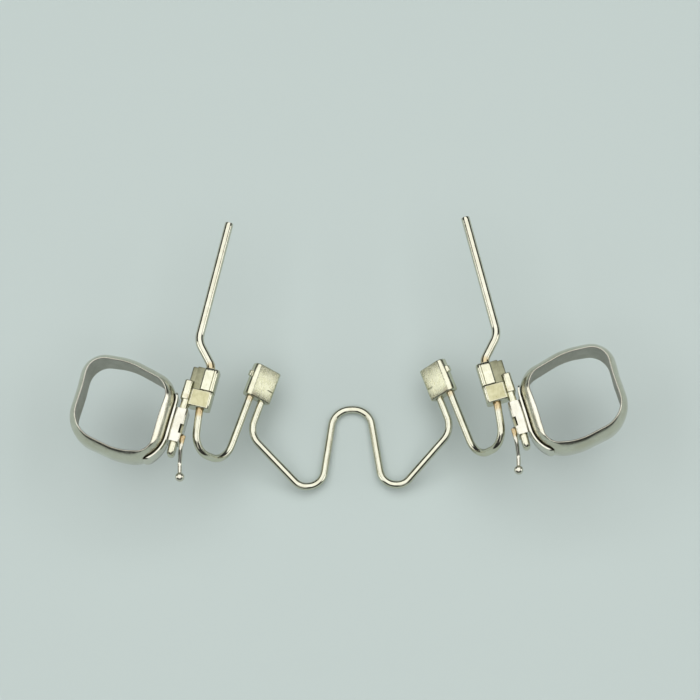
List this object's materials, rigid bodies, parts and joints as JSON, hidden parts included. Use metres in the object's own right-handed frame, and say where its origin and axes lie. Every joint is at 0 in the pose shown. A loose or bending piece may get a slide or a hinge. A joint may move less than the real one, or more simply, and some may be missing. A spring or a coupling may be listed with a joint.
{
  "type": "palatal expander",
  "caption": "Spring palatal expander with molar bands, lingual sheaths, sliding inserts, forward arms, side loops and a W-shaped centre spring.",
  "frame": {"origin": "bottom centre of the part's box: on the midline, level with the lowest point of the centre spring", "axes": "+X across to the right-hand band, +Y forwards along the arms, +Z out of the palate towards the biting side"},
  "size_m": [0.0574, 0.0282, 0.0106],
  "materials": {
    "band_steel": "rolled sheet, satin",
    "sheath_steel": "pickled and tumbled",
    "connector_steel": "pressed sheet, tumbled",
    "arm_steel": "drawn wire, polished",
    "spring_wire": "drawn wire, polished"
  },
  "bodies": {
    "left_band": {"molar_band_left": "band_steel", "sheath_pad_left": "sheath_steel", "lingual_sheath_left": "sheath_steel", "ball_hook_left": "sheath_steel"},
    "left_side": {"sheath_insert_left": "connector_steel", "outer_connector_left": "connector_steel", "extension_arm_left": "arm_steel", "side_loop_left": "spring_wire"},
    "left_link": {"inner_connector_left": "connector_steel", "center_spring": "spring_wire"},
    "right_link": {"inner_connector_right": "connector_steel"},
    "right_side": {"sheath_insert_right": "connector_steel", "outer_connector_right": "connector_steel", "extension_arm_right": "arm_steel", "side_loop_right": "spring_wire"},
    "right_band": {"molar_band_right": "band_steel", "sheath_pad_right": "sheath_steel", "lingual_sheath_right": "sheath_steel", "ball_hook_right": "sheath_steel"}
  },
  "joints": [
    {"name": "left_insert_slide", "type": "slide", "parent": "left_band", "child": "left_side", "axis": [0.2588, 0.9659, 0], "range_m": [0, 0.0055]},
    {"name": "left_rotation", "type": "hinge", "parent": "left_side", "child": "left_link", "pos_m": [-0.0136, -0.00791, 0.006], "axis": [0, 0, 1], "range_deg": [-10, 10], "stiffness_Nm_per_rad": 0.06, "deforming": ["side_loop_left"]},
    {"name": "expansion", "type": "slide", "parent": "left_link", "child": "right_link", "axis": [1, 0, 0], "range_m": [-0.003, 0], "stiffness_N_per_m": 900, "deforming": ["center_spring"]},
    {"name": "right_rotation", "type": "hinge", "parent": "right_link", "child": "right_side", "pos_m": [0.0136, -0.00791, 0.006], "axis": [0, 0, 1], "range_deg": [-10, 10], "stiffness_Nm_per_rad": 0.06, "deforming": ["side_loop_right"]},
    {"name": "right_insert_slide", "type": "slide", "parent": "right_side", "child": "right_band", "axis": [0.2588, -0.9659, 0], "range_m": [0, 0.0055]}
  ]
}
